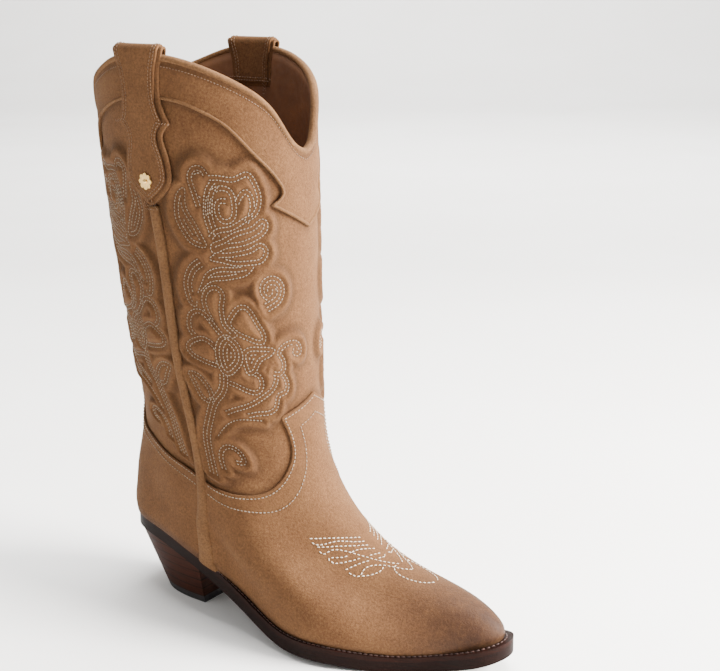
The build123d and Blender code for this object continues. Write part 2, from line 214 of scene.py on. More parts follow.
def resample(points, step):
    """A smooth curve through the points, sampled evenly."""
    points = np.asarray(points, float)
    length = np.r_[0, np.cumsum(np.linalg.norm(np.diff(points, axis=0), axis=1))]
    count = max(int(length[-1] / step), 2) + 1
    at = np.linspace(0, length[-1], count)
    if len(points) == 2:
        return points[0] + (points[1] - points[0]) * (at / length[-1])[:, None]
    return np.stack([smooth(length, points[:, k])(at) for k in (0, 1)], -1)


def ring(points, step):
    """A smooth closed curve through the points."""
    points = np.asarray(points, float)
    wrapped = np.concatenate([points[-3:], points, points[:4]])
    length = np.r_[0, np.cumsum(np.linalg.norm(np.diff(wrapped, axis=0), axis=1))]
    start, end = length[3], length[3 + len(points)]
    at = np.linspace(start, end, max(int((end - start) / step), 8) + 1)[:-1]
    return np.stack([smooth(length, wrapped[:, k])(at) for k in (0, 1)], -1)


def joined(*stretches, step=1.0):
    """Stretches that meet at corners, as one line."""
    parts = [resample(stretch, step) for stretch in stretches]
    return np.concatenate([part[:-1] for part in parts[:-1]] + [parts[-1]])


def tangents(line, closed=False):
    """Unit tangents of a line of 2-D or 3-D points."""
    if closed:
        step = np.roll(line, -1, 0) - np.roll(line, 1, 0)
    else:
        step = np.gradient(line, axis=0)
    return step / np.maximum(np.linalg.norm(step, axis=1, keepdims=True), 1e-9)


def beside(line, distance, closed=False):
    """The line moved to its left by a distance."""
    along = tangents(line, closed)
    return line + distance * np.stack([-along[:, 1], along[:, 0]], -1)


def mirrored(flat):
    """The same points on the inner side."""
    return np.asarray(flat) * (-1, 1)


# Lines on the boot, as drawn in CAD: side view (x, z), front and back views (y, z).
TOP_SIDE = [(118, 325), (108, 332), (92, 339), (77, 342.5), (58, 343.5), (37, 340.5), (21, 334), (8, 326)]
TOP_FRONT = [(0, 290), (-6, 293), (-12, 301), (-20, 315)]
TOP_BACK = [(-24, 312), (-13, 300), (-6, 294.5), (0, 292)]
COLLAR_SIDE = [(108, 304), (97, 311.5), (85, 316.5), (73, 318.5), (55, 318.5), (37, 315), (21, 308), (8, 296)]
COLLAR_FRONT = [(-21.5, 260), (-18, 263), (-16, 266.5), (-18, 273), (-24, 282.5), (-29, 290)]
COLLAR_FRONT_TIP = [(0, 245.5), (-21.5, 260)]
COLLAR_BACK = [(-26, 285), (-19, 276), (-16.5, 269.5), (-18.5, 266), (-22, 262.5)]
COLLAR_BACK_TIP = [(-22, 262.5), (0, 249)]
FOXING_SIDE = [
    (115, 87), (106, 87.2), (94, 89.5), (80, 94.5), (66, 98.5), (53, 102), (38, 107.5), (24, 112.5),
]
FOXING_FRONT = [(-19.5, 135), (-16.5, 123.5), (-16, 113.5), (-19, 103.5), (-25, 93.5)]
FOXING_FRONT_TIP = [(0, 147), (-19.5, 135)]
FOXING_BACK = [(-15, 118), (-12.5, 124), (-13.5, 131)]
FOXING_BACK_TIP = [(-13.5, 131), (0, 139)]
SEAM = [
    (61.5, 262), (63, 250), (64.5, 238), (68, 197), (72.5, 157), (79.5, 121.5), (84.5, 91), (84, 65), (83, 25),
]

seam = from_side(SEAM)
seam_at = smooth(seam[::-1, 1], seam[::-1, 0])
top_line = joined(np.concatenate([from_end(TOP_FRONT), from_side(TOP_SIDE), from_end(TOP_BACK, True)]))
collar_line = joined(
    from_end(COLLAR_FRONT_TIP),
    np.concatenate([from_end(COLLAR_FRONT), from_side(COLLAR_SIDE), from_end(COLLAR_BACK, True)]),
    from_end(COLLAR_BACK_TIP, True),
)
foxing_line = joined(
    from_end(FOXING_FRONT_TIP),
    np.concatenate([from_end(FOXING_FRONT), from_side(FOXING_SIDE), from_end(FOXING_BACK, True)]),
    from_end(FOXING_BACK_TIP, True),
)
BACK = ROUND * math.pi


def ahead(line):
    """The part of a line from the front to the side seam."""
    return line[line[:, 0] < seam_at(line[:, 1])]


def behind(line):
    """The part of a line from the side seam to the back."""
    return line[line[:, 0] >= seam_at(line[:, 1])]


# ---------------------------------------------------------------- meshes


def place(points):
    """Form millimetres to scene metres."""
    return (np.asarray(points, float) - (HEEL_CENTRE, 0, 0)) * MM


def mesh_piece(name, points, faces, material, slot, shades=None):
    """A smooth-shaded piece that rides on the boot."""
    mesh = bpy.data.meshes.new(name)
    mesh.from_pydata(place(points).tolist(), [], faces)
    mesh.polygons.foreach_set("use_smooth", [True] * len(mesh.polygons))
    for label, values in (shades or {}).items():
        attribute = mesh.attributes.new(label, "FLOAT", "POINT")
        attribute.data.foreach_set("value", np.asarray(values, np.float32))
    mesh.materials.append(material)
    mesh.validate()
    mesh.update()
    piece = bpy.data.objects.new(name, mesh)
    bpy.context.scene.collection.objects.link(piece)
    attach(piece, "root")
    return piece


def contains(outline, points):
    """Which points lie inside a closed outline."""
    a = outline
    b = np.roll(outline, -1, 0)
    result = np.zeros(len(points), bool)
    for start in range(0, len(points), 4000):
        u, v = points[start : start + 4000].T
        crosses = (a[:, 1] > v[:, None]) != (b[:, 1] > v[:, None])
        run = np.where(b[:, 1] == a[:, 1], 1e-12, b[:, 1] - a[:, 1])
        at = a[:, 0] + (v[:, None] - a[:, 1]) / run * (b[:, 0] - a[:, 0])
        result[start : start + 4000] = (crosses & (u[:, None] < at)).sum(1) % 2 == 1
    return result


def nearest(outline, points):
    """Distance from each point to a closed outline, and the place on it."""
    a = outline
    side = np.roll(outline, -1, 0) - a
    size = np.maximum((side**2).sum(1), 1e-12)
    distances = np.empty(len(points))
    feet = np.empty((len(points), 2))
    for start in range(0, len(points), 2000):
        part = points[start : start + 2000]
        share = ((part[:, None] - a) * side).sum(2) / size
        foot = a + np.clip(share, 0, 1)[..., None] * side
        apart = np.linalg.norm(part[:, None] - foot, axis=2)
        best = apart.argmin(1)
        rows = np.arange(len(part))
        distances[start : start + 2000] = apart[rows, best]
        feet[start : start + 2000] = foot[rows, best]
    return distances, feet


def distance_to(cloud, points):
    """Distance from each point to the nearest point of a cloud."""
    result = np.empty(len(points))
    cloud = cloud.astype(np.float32)
    square = (cloud**2).sum(1)
    for start in range(0, len(points), 2000):
        part = points[start : start + 2000].astype(np.float32)
        apart = (part**2).sum(1)[:, None] + square - 2 * part @ cloud.T
        result[start : start + 2000] = np.sqrt(np.maximum(apart.min(1), 0))
    return result


def fill(outline, step):
    """A grid inside a closed outline, its outermost points moved onto the outline; and its rim in order."""
    low, high = outline.min(0) - 2 * step, outline.max(0) + 2 * step
    us = np.arange(math.floor(low[0] / step), math.ceil(high[0] / step) + 1) * step
    vs = np.arange(math.floor(low[1] / step), math.ceil(high[1] / step) + 1) * step
    grid = np.stack(np.meshgrid(us, vs, indexing="ij"), -1)
    flat = grid.reshape(-1, 2)
    inside = contains(outline, flat).reshape(grid.shape[:2])
    near = np.zeros_like(inside)
    for i in (-1, 0, 1):
        for j in (-1, 0, 1):
            near |= np.roll(inside, (i, j), (0, 1)) != inside
    apart, feet = nearest(outline, grid[near])
    close = apart < 0.55 * step
    moved = grid[near]
    moved[close] = feet[close]
    grid[near] = moved
    state = inside.astype(int)
    rim_state = state[near]
    rim_state[close] = 2
    state[near] = rim_state

    number = np.arange(state.size).reshape(state.shape)
    cells = np.stack([number[:-1, :-1], number[1:, :-1], number[1:, 1:], number[:-1, 1:]], -1).reshape(-1, 4)
    flat = grid.reshape(-1, 2)
    outs = (state.reshape(-1)[cells] == 0).sum(1)
    quads = cells[outs == 0]
    rims = (state.reshape(-1)[quads] == 2).all(1)
    keep = ~rims
    keep[rims] = contains(outline, flat[quads[rims]].mean(1))
    quads = quads[keep]
    part = cells[outs == 1]
    part = part[(state.reshape(-1)[part] > 0)].reshape(-1, 3)
    a, b, c = flat[part[:, 0]], flat[part[:, 1]], flat[part[:, 2]]
    area = (b - a)[:, 0] * (c - a)[:, 1] - (b - a)[:, 1] * (c - a)[:, 0]
    part = part[(area > 0.1 * step**2) & contains(outline, flat[part].mean(1))]

    used = np.unique(np.concatenate([quads.ravel(), part.ravel()]))
    back = np.full(state.size, -1)
    back[used] = np.arange(len(used))
    faces = [tuple(f) for f in back[quads].tolist()] + [tuple(f) for f in back[part].tolist()]
    return flat[used], faces, rim_of(faces)


def rim_of(faces):
    """The longest loop of edges that have a face on one side only."""
    edges = {(f[i], f[(i + 1) % len(f)]) for f in faces for i in range(len(f))}
    after = {a: b for a, b in edges if (b, a) not in edges}
    loops = []
    while after:
        loop = [next(iter(after))]
        while loop[-1] in after:
            loop.append(after.pop(loop[-1]))
        loops.append(loop[:-1])
    return np.array(max(loops, key=len))


def inset(outline, distance):
    """A closed counter-clockwise outline moved inward, with mitred corners."""
    before = outline - np.roll(outline, 1, 0)
    after = np.roll(outline, -1, 0) - outline
    normals = []
    for step in (before, after):
        step = step / np.maximum(np.linalg.norm(step, axis=1, keepdims=True), 1e-9)
        normals.append(np.stack([-step[:, 1], step[:, 0]], -1))
    middle = normals[0] + normals[1]
    middle /= np.maximum(np.linalg.norm(middle, axis=1, keepdims=True), 1e-9)
    reach = distance / np.maximum((middle * normals[1]).sum(1), 0.5)
    return outline + middle * reach[:, None]


def counter_clockwise(outline):
    """The outline, turned so that its inside is on the left."""
    following = np.roll(outline, -1, 0)
    area = (outline[:, 0] * following[:, 1] - outline[:, 1] * following[:, 0]).sum()
    return outline if area > 0 else outline[::-1]


EDGE = [(0.38, 0.08), (0.71, 0.29), (0.92, 0.62), (1.0, 1.0)]


def leather(outline, step, base, top, edge=0.7, shape=surface, relief=None, corners=()):
    """Points and faces of a closed leather piece with a rounded edge, and each point's flat place."""
    outline = counter_clockwise(outline)
    flat, faces, rim = fill(inset(outline, edge), step)
    for corner in corners:
        sharp = inset(outline, edge)[np.linalg.norm(outline - corner, axis=1).argmin()]
        flat[rim[np.linalg.norm(flat[rim] - sharp, axis=1).argmin()]] = sharp
    loop = flat[rim]
    out = loop - np.roll(loop, 1, 0)
    out = out + np.roll(out, -1, 0)
    out = np.stack([out[:, 1], -out[:, 0]], -1)
    out /= np.maximum(np.linalg.norm(out, axis=1, keepdims=True), 1e-9)
    height = np.full(len(flat), float(top)) + (relief(flat) if relief else 0)
    places, heights = [flat], [height]
    count = len(rim)
    previous = rim
    total = len(flat)
    faces = list(faces)
    rows = [(share * edge, height[rim] - drop * edge) for share, drop in EDGE]
    rows.append((edge, np.full(count, float(base))))
    for outward, level in rows:
        places.append(loop + out * outward)
        heights.append(level)
        current = total + np.arange(count)
        faces += bridge(previous, current)
        previous = current
        total += count
    inner = total + np.arange(len(flat))
    faces += bridge(previous, inner[rim])
    faces += [tuple(int(inner[i]) for i in reversed(f)) for f in faces if max(f) < len(flat)]
    places.append(flat)
    heights.append(np.full(len(flat), float(base)))
    places = np.concatenate(places)
    return shape(places, np.concatenate(heights)), faces, places


def bridge(first, second):
    """Quads between two closed rows of the same count; the second lies outside the first."""
    a, b = first, np.roll(first, -1)
    c, d = second, np.roll(second, -1)
    return list(map(tuple, np.stack([b, a, c, d], -1).tolist()))


def between(rows, closed_u=False, closed_v=False):
    """Quads of a structured grid of rows."""
    n, m = rows
    number = np.arange(n * m).reshape(n, m)
    if closed_u:
        number = np.concatenate([number, number[:1]])
    if closed_v:
        number = np.concatenate([number, number[:, :1]], 1)
    quads = np.stack([number[:-1, :-1], number[1:, :-1], number[1:, 1:], number[:-1, 1:]], -1)
    return list(map(tuple, quads.reshape(-1, 4).tolist()))


def block(outer, inner):
    """A closed piece between two matching grids of points."""
    n, m = outer.shape[:2]
    faces = between((n, m))
    total = n * m
    faces += [tuple(total + i for i in reversed(f)) for f in between((n, m))]
    number = np.arange(total).reshape(n, m)
    rim = np.concatenate([number[:, 0], number[-1, 1:], number[-2::-1, -1], number[0, -2:0:-1]])
    faces += bridge(rim, rim + total)
    return np.concatenate([outer.reshape(-1, 3), inner.reshape(-1, 3)]), faces


def sweep(line, section, closed=False, shape=surface):
    """A closed section carried along a flat line. The section is (mm to the left, offset)."""
    along = tangents(line, closed)
    left = np.stack([-along[:, 1], along[:, 0]], -1)
    scale = np.linalg.norm(shape(line + left, 2.0) - shape(line - left, 2.0), axis=1) / 2
    points = []
    for side, offset in section:
        points.append(shape(line + left * (side / scale)[:, None], np.full(len(line), float(offset))))
    points = np.stack(points, 1)
    n, m = points.shape[:2]
    faces = between((n, m), closed_u=closed, closed_v=True)
    if not closed:
        faces += [tuple(range(m)), tuple((n - 1) * m + i for i in reversed(range(m)))]
    return points.reshape(-1, 3), faces


def oval(count, half_width, low, high):
    """A rounded section between two offsets."""
    turns = np.arange(count) * 2 * math.pi / count
    middle, half = (low + high) / 2, (high - low) / 2
    return [(half_width * math.cos(t), middle + half * math.sin(t)) for t in turns]


# ---------------------------------------------------------------- sewing


def seats(line, offset, pitch=STITCH, shape=surface, relief=None, lift=0.0):
    """Where the stitches of a row lie: centre, direction and normal of each."""
    height = np.full(len(line), float(offset)) + (relief(line) if relief else 0)
    points = shape(line, height)
    outward = shape(line, height + 1.0) - points
    length = np.r_[0, np.cumsum(np.linalg.norm(np.diff(points, axis=0), axis=1))]
    count = int(length[-1] / pitch)
    if count < 1:
        return np.empty((0, 3, 3))
    at = (np.arange(count) + 0.5) * length[-1] / count
    centre = np.stack([np.interp(at, length, points[:, k]) for k in range(3)], -1)
    normal = np.stack([np.interp(at, length, outward[:, k]) for k in range(3)], -1)
    run = tangents(points)
    direction = np.stack([np.interp(at, length, run[:, k]) for k in range(3)], -1)
    normal /= np.linalg.norm(normal, axis=1, keepdims=True)
    return np.stack([centre + lift * normal, direction, normal], 1)


STITCH_RINGS = [(-0.36, 0.8, 0.16), (0.0, 1.0, 0.26), (0.36, 0.8, 0.16)]


def stitches(places, length=STITCH_LENGTH, thread=0.3):
    """Stitches as small arched lozenges of thread."""
    centre, along, normal = places[:, 0], places[:, 1], places[:, 2]
    across = np.cross(along, normal)
    tilt = random.normal(0, 0.05, (len(places), 1))
    along = along + tilt * across
    points = [centre - along * length / 2 - normal * 0.25]
    for share, size, rise in STITCH_RINGS:
        middle = centre + along * length * share + normal * rise * (thread / 0.3)
        for side, up in ((1, 0), (0, 1), (-1, 0), (0, -1)):
            points.append(middle + thread * size * (side * across + up * normal))
    points.append(centre + along * length / 2 - normal * 0.25)
    points = np.stack(points, 1)
    faces = [(0, 1 + i, 1 + (i + 1) % 4) for i in range(4)]
    for row in (1, 5):
        faces += [(row + i, row + 4 + i, row + 4 + (i + 1) % 4, row + (i + 1) % 4) for i in range(4)]
    faces += [(13, 9 + (i + 1) % 4, 9 + i) for i in range(4)]
    count = points.shape[1]
    every = [tuple(k * count + i for i in f) for k in range(len(points)) for f in faces]
    return points.reshape(-1, 3), every


# The flower motif of one shaft quarter, in the flat layout: rows of stitches beside each stroke,
# whether it is closed, and its points. The other three quarters are its mirror images. The points
# follow the photographed embroidery and were computed outside this script, which is a fault.
MOTIF = [
    ((0, 1, 2, 3), True, [(56.5, 271), (63, 271.5), (66.5, 275.5), (69, 280.5), (69.5, 286.5),
        (68.5, 291), (66.5, 294.5), (64, 296), (64, 290), (62.5, 284.5), (60, 280), (58, 275.5)]),
    ((0, 1), False, [(59, 288), (61, 296.5), (61.5, 301), (59.5, 304.5), (56.5, 305.5), (54, 304.5),
        (52.5, 302)]),
    ((0,), False, [(54.5, 301.5), (56.5, 302.5), (59, 301), (59.5, 297.5), (58.5, 294), (56.5, 292)]),
    ((0, 1), False, [(52.5, 301.5), (47, 301.5), (41.5, 301), (37.5, 302.5), (34.5, 303), (32, 301),
        (30, 297), (29, 292.5), (30, 288), (32.5, 284.5), (36.5, 282.5), (41, 280), (46, 278),
        (50.5, 277), (53.5, 274)]),
    ((0, 1, 2), False, [(53.5, 274), (55, 279), (56, 284.5), (55.5, 290), (54.5, 294.5), (53, 297.5),
        (50.5, 300)]),
    ((0, -1), False, [(51, 279.5), (53, 285), (52.5, 290.5), (50.5, 294), (47, 295.5), (44, 294.5),
        (43, 291), (43, 287), (45, 283.5), (47.5, 283.5), (49, 286.5), (48, 290), (45.5, 290)]),
    ((0, -1), False, [(42, 283.5), (40.5, 288), (38, 292.5), (36, 294), (34.5, 291), (35, 287),
        (38, 282.5)]),
    ((0, 1), True, [(54.5, 271), (50, 274), (44.5, 277), (39, 279), (33.5, 281), (29, 283.5), (27, 282.5),
        (27, 279), (30, 276), (35, 273.5), (41.5, 271.5), (48.5, 270), (54, 268.5)]),
    ((0, 1), True, [(53, 267.5), (47, 268.5), (41.5, 269.5), (36, 271), (31, 273), (27.5, 270.5),
        (28, 267.5), (31, 264.5), (36.5, 263.5), (44.5, 263), (50, 264), (55.5, 265.5)]),
    ((0, 1, 2), True, [(63, 248.5), (60.5, 254), (58, 258.5), (54, 261), (48.5, 262), (41.5, 262.5),
        (35, 263.5), (38, 259.5), (43, 257.5), (50, 256), (55.5, 255), (59.5, 252)]),
    ((0, -1, -2), False, [(61, 265), (65, 262), (68, 257.5), (69.5, 252.5), (69, 246.5), (67, 242.5),
        (65, 242), (64, 245)]),
    ((0, -1, 1), False, [(30.5, 244), (27.5, 245.5), (24, 247.5), (22, 250.5), (22, 254), (24, 256),
        (27.5, 256.5), (30, 255), (31, 252), (28.5, 249.5), (26.5, 251), (26.5, 253)]),
    ((0, 1, 2, 3), True, [(54, 210), (56.5, 213.5), (57.5, 218.5), (57, 224), (54.5, 228.5), (52, 230),
        (48, 228.5), (45, 225), (44, 220), (45.5, 215.5), (48.5, 212), (51, 210)]),
    ((0, 1), True, [(56, 213.5), (61, 213.5), (67, 215), (71.5, 217.5), (72.5, 220), (70.5, 224),
        (67.5, 226), (63.5, 227.5), (60, 226.5), (57, 224)]),
    ((0, -1), False, [(65, 227.5), (68, 229.5), (68.5, 233.5), (67, 237.5), (63.5, 239), (60.5, 237),
        (57.5, 233), (54.5, 229.5)]),
    ((0, 1), True, [(54.5, 229.5), (58, 234.5), (60.5, 240), (61.5, 245), (60, 250), (56, 253),
        (52.5, 252.5), (50.5, 249), (51.5, 243.5), (51.5, 239), (50.5, 235), (46, 230.5)]),
    ((0, 1), True, [(50.5, 235.5), (48, 241), (44.5, 244.5), (41, 245), (37.5, 242), (34, 236),
        (31.5, 231), (32.5, 227.5), (36.5, 227), (41, 228.5), (45, 230)]),
    ((0, 1, 2), True, [(43.5, 223), (40.5, 225), (35.5, 225.5), (30.5, 225.5), (27, 224.5), (30, 221),
        (34, 219), (36.5, 215.5), (39, 212), (41.5, 211.5), (43.5, 215)]),
    ((0, 1), False, [(52, 207), (48, 206), (42.5, 204), (38, 204), (36, 207.5), (37.5, 211), (41, 211)]),
    ((0, 1), False, [(28, 214), (25.5, 213.5), (23, 216), (23.5, 219.5), (25.5, 222.5), (24, 225.5),
        (21, 227.5), (17, 228.5), (12, 227.5), (10, 225), (10.5, 222), (13.5, 221), (16, 222.5),
        (15, 225)]),
    ((0, -1), False, [(23.5, 211.5), (21.5, 208), (22.5, 204.5), (25.5, 203.5), (28, 200), (29, 196.5),
        (32.5, 194), (38, 193), (44.5, 191)]),
    ((0, -1), False, [(27.5, 211), (29.5, 206.5), (33.5, 203), (38.5, 199.5), (45.5, 195.5), (51, 193),
        (56, 190)]),
    ((-1, 0, 1), False, [(54.5, 210), (55, 204.5), (57, 199.5), (60, 195.5), (62.5, 190.5), (65, 183),
        (68, 173), (69, 162), (70, 147.5)]),
    ((0, 1), True, [(62.5, 193), (67, 193.5), (69.5, 197), (71.5, 202), (73, 207), (68.5, 207.5),
        (64, 204), (61.5, 199.5)]),
    ((0,), False, [(36.5, 188.5), (44, 188), (51.5, 186), (58, 180), (62, 174)]),
    ((0, -1), False, [(62, 154), (62, 161), (60, 166.5), (56.5, 169), (52.5, 167), (52.5, 163),
        (55.5, 162.5)]),
]


def motif_rows():
    """Every stitched row of the motif, and its closed outlines."""
    rows, shapes = [], []
    for sides, closed, points in MOTIF:
        line = counter_clockwise(ring(points, 0.5)) if closed else resample(points, 0.5)
        if closed:
            shapes.append(line)
        for side in sides:
            moved = beside(line, side * ROW, closed)
            if closed:
                moved = np.concatenate([moved, moved[:1]])
            clear = distance_to(line, moved) > abs(side) * ROW - 0.25
            starts = np.flatnonzero(np.diff(np.r_[0, clear.astype(int), 0]))
            for first, last in zip(starts[::2], starts[1::2]):
                if last - first > 6:
                    rows.append(moved[first:last])
    return rows, shapes


motif, motif_shapes = motif_rows()
motif_cloud = np.concatenate(motif)


def quarter(flat):
    """The place in the motif's own quarter that mirrors onto each point."""
    folded = ROUND * np.arccos(np.clip(np.abs(np.cos(flat[:, 0] / ROUND)), -1, 1))
    return np.stack([folded, flat[:, 1]], -1)


def ramp(x, low, high):
    """0 below low, 1 above high, smooth between."""
    share = np.clip((np.asarray(x, float) - low) / (high - low), 0, 1)
    return share * share * (3 - 2 * share)


def motif_fields(flat):
    """Height of the padded motif, and the painted shade of each point: along its stitched grooves and in a
    ring round it.
    """
    here = quarter(flat)
    apart = distance_to(motif_cloud, here)
    inside = np.zeros(len(here), bool)
    for outline in motif_shapes:
        inside |= contains(outline, here)
    spread = np.where(inside, 1.0, 1 - ramp(apart, 2.2, 6.5))
    groove = np.exp(-((apart / 0.7) ** 2))
    swell = 0.5 + 0.5 * ramp(apart, 0.4, 3.0)
    around = ramp(apart, 3.5, 7.5) * (1 - ramp(apart, 8.0, 16.0)) * ~inside
    height = RELIEF * spread * swell * (1 - 0.3 * groove) - 0.3 * around
    # Painted shade: darker along the stitched grooves and in a soft ring just outside the motif.
    painted_shade = spread * groove * 0.5 + 0.55 * ramp(apart, 2.5, 5.0) * (1 - ramp(apart, 5.5, 10.0)) * ~inside
    return height, painted_shade


def motif_height(flat):
    """Height of the padded motif."""
    return motif_fields(flat)[0]


def thinned(places, gap):
    """The stitches that keep clear of the ones before them."""
    kept = []
    centres = np.empty((0, 3))
    for place_of in places:
        if len(centres) and np.linalg.norm(centres - place_of[0], axis=1).min() < gap:
            continue
        kept.append(place_of)
        centres = np.concatenate([centres, place_of[:1]])
    return np.array(kept)


def everywhere(lines, front):
    """Lines of the motif's quarter, on both sides of the front or of the back."""
    result = []
    for line in lines:
        if not front:
            line = line * (-1, 1) + (BACK, 0)
        result += [line, mirrored(line)]
    return result


# ---------------------------------------------------------------- materials


def colour(red, green, blue):
    """An sRGB colour (0 to 255) as a linear one."""
    values = []
    for part in (red, green, blue):
        part /= 255
        values.append(part / 12.92 if part <= 0.04045 else ((part + 0.055) / 1.055) ** 2.4)
    return (*values, 1.0)


class Nodes:
    """A material's node tree, with short calls for the nodes used here."""

    def __init__(self, name):
        self.material = bpy.data.materials.new(name)
        self.material.use_nodes = True
        self.tree = self.material.node_tree
        self.shader = self.tree.nodes["Principled BSDF"]
        self.place = self.add("ShaderNodeTexCoord").outputs["Object"]

    def add(self, kind, **values):
        """A node with settings."""
        node = self.tree.nodes.new(kind)
        for key, value in values.items():
            setattr(node, key, value)
        return node

    def join(self, source, target):
        """A link, or a constant."""
        if isinstance(source, bpy.types.NodeSocket):
            self.tree.links.new(source, target)
        else:
            target.default_value = source

    def noise(self, scale, detail=3.0, rough=0.55, stretch=(1, 1, 1)):
        """Noise with features of about 1/scale metres."""
        mapping = self.add("ShaderNodeMapping")
        mapping.inputs["Scale"].default_value = stretch
        self.join(self.place, mapping.inputs["Vector"])
        node = self.add("ShaderNodeTexNoise")
        self.join(mapping.outputs[0], node.inputs["Vector"])
        node.inputs["Scale"].default_value = scale
        node.inputs["Detail"].default_value = detail
        node.inputs["Roughness"].default_value = rough
        return node.outputs["Fac"]

    def attribute(self, name):
        """A value stored on the mesh."""
        return self.add("ShaderNodeAttribute", attribute_name=name).outputs["Fac"]

    def math(self, operation, a, b=0.0, clamp=False):
        """Arithmetic."""
        node = self.add("ShaderNodeMath", operation=operation, use_clamp=clamp)
        self.join(a, node.inputs[0])
        self.join(b, node.inputs[1])
        return node.outputs[0]

    def span(self, value, low, high, to_low=0.0, to_high=1.0):
        """A value taken from one range to another."""
        node = self.add("ShaderNodeMapRange")
        for socket, part in zip(node.inputs, (value, low, high, to_low, to_high)):
            self.join(part, socket)
        return node.outputs[0]

    def mix(self, share, a, b, blend="MIX"):
        """Two colours mixed."""
        node = self.add("ShaderNodeMix", data_type="RGBA", blend_type=blend)
        self.join(share, node.inputs["Factor"])
        self.join(a, node.inputs["A"])
        self.join(b, node.inputs["B"])
        return node.outputs["Result"]

    def finish(self, base, roughness, bumps=(), **constants):
        """Wires the shader. Each bump is (height, strength, distance in mm)."""
        self.join(base, self.shader.inputs["Base Color"])
        self.join(roughness, self.shader.inputs["Roughness"])
        normal = None
        for height, strength, distance in bumps:
            node = self.add("ShaderNodeBump")
            node.inputs["Strength"].default_value = strength
            node.inputs["Distance"].default_value = distance * MM
            self.join(height, node.inputs["Height"])
            if normal is not None:
                self.join(normal, node.inputs["Normal"])
            normal = node.outputs[0]
        if normal is not None:
            self.join(normal, self.shader.inputs["Normal"])
        for key, value in constants.items():
            self.shader.inputs[key.replace("_", " ")].default_value = value
        return self.material


SUEDE_LIGHT = colour(92, 63, 39)
SUEDE_DARK = colour(79, 52, 31)
# The colour of the suede's painted shade in creases and under overlapping edges.
SUEDE_PAINTED_SHADE = colour(30, 17, 9)
BURNISHED = colour(36, 19, 12)


def suede(name, light=SUEDE_LIGHT, dark=SUEDE_DARK):
    """Napped leather: fine fibre, soft patches, painted shade in creases and along overlapping edges, and
    darker where it is burnished.
    """
    n = Nodes(name)
    fibre = n.noise(3200, 4, 0.7)
    grain = n.noise(820, 4, 0.7)
    patches = n.span(n.noise(42, 5, 0.65), 0.3, 0.7)
    base = n.mix(patches, dark, light)
    speck = n.span(grain, 0.3, 0.7, 0.62, 1.32)
    base = n.mix(1.0, base, speck, "MULTIPLY")
    flecks = n.span(fibre, 0.3, 0.72, 0.7, 1.3)
    base = n.mix(1.0, base, flecks, "MULTIPLY")
    # Painted shade: each point's stored darkening in creases and under edges, mixed towards the shade colour.
    painted_shade = n.math("MULTIPLY", n.attribute("painted_shade"), 0.75, True)
    base = n.mix(painted_shade, base, SUEDE_PAINTED_SHADE)
    uneven = n.span(n.noise(160, 4, 0.7), 0.25, 0.6, 0.6, 1.0)
    rubbed = n.math("MULTIPLY", n.attribute("burnish"), uneven, True)
    base = n.mix(rubbed, base, BURNISHED)
    roughness = n.span(rubbed, 0.0, 1.0, 0.92, 0.5)
    bumps = [(fibre, 0.4, 0.3), (grain, 0.5, 0.6), (n.noise(220, 3), 0.15, 1.0)]
    return n.finish(base, roughness, bumps, Sheen_Weight=0.08, Sheen_Roughness=0.5,
                    Sheen_Tint=colour(214, 176, 134), Specular_IOR_Level=0.12)


def thread(name, pale, deep):
    """Twisted thread with a faint gloss."""
    n = Nodes(name)
    twist = n.noise(2600, 2, 0.5)
    base = n.mix(n.span(n.noise(420, 2), 0.35, 0.7), deep, pale)
    base = n.mix(1.0, base, n.span(twist, 0.3, 0.7, 0.85, 1.08), "MULTIPLY")
    return n.finish(base, 0.62, [(twist, 0.4, 0.12)], Sheen_Weight=0.15, Specular_IOR_Level=0.35)


def smooth_leather(name, light, dark, scale, roughness):
    """Fine-grained leather."""
    n = Nodes(name)
    cells = n.add("ShaderNodeTexVoronoi", feature="SMOOTH_F1")
    n.join(n.place, cells.inputs["Vector"])
    cells.inputs["Scale"].default_value = scale
    pores = cells.outputs["Distance"]
    base = n.mix(n.span(n.noise(60, 4, 0.6), 0.3, 0.7), dark, light)
    base = n.mix(1.0, base, n.span(pores, 0.1, 0.8, 0.92, 1.06), "MULTIPLY")
    rough = n.span(n.noise(300, 3), 0.3, 0.7, roughness - 0.08, roughness + 0.1)
    bumps = [(pores, 0.25, 0.25), (n.noise(900, 3), 0.15, 0.15)]
    return n.finish(base, rough, bumps, Specular_IOR_Level=0.35)


def sole_leather(name, light, dark, lines):
    """Stained sole leather with fine level lines round its edge, and a waxed gloss."""
    n = Nodes(name)
    streaks = n.noise(120, 5, 0.65, (0.6, 0.6, 9))
    base = n.mix(n.span(streaks, 0.3, 0.72), dark, light)
    fine = n.noise(700, 3, 0.6, (0.25, 0.25, 4))
    base = n.mix(1.0, base, n.span(fine, 0.3, 0.7, 0.82, 1.1), "MULTIPLY")
    bumps = [(fine, 0.3, 0.25), (n.noise(180, 3), 0.15, 0.6)]
    if lines:
        height = n.add("ShaderNodeSeparateXYZ")
        n.join(n.place, height.inputs[0])
        lifts = n.math("SUBTRACT", height.outputs["Z"], CAP * MM)
        phase = n.math("FRACT", n.math("DIVIDE", lifts, LIFT * MM))
        edge = n.math("ABSOLUTE", n.math("SUBTRACT", phase, 0.5))
        line = n.span(edge, 0.41, 0.49)
        base = n.mix(n.math("MULTIPLY", line, 0.85), base, colour(9, 4, 3))
        bumps.append((line, -0.5, 0.5))
    rough = n.span(streaks, 0.3, 0.75, 0.45, 0.62)
    return n.finish(base, rough, bumps, Specular_IOR_Level=0.05)


def rubber(name):
    """Matt black rubber."""
    n = Nodes(name)
    fine = n.noise(1500, 3)
    base = n.mix(n.span(n.noise(90, 3), 0.3, 0.7), colour(12, 11, 11), colour(24, 22, 21))
    return n.finish(base, n.span(fine, 0.3, 0.7, 0.6, 0.78), [(fine, 0.3, 0.2)])


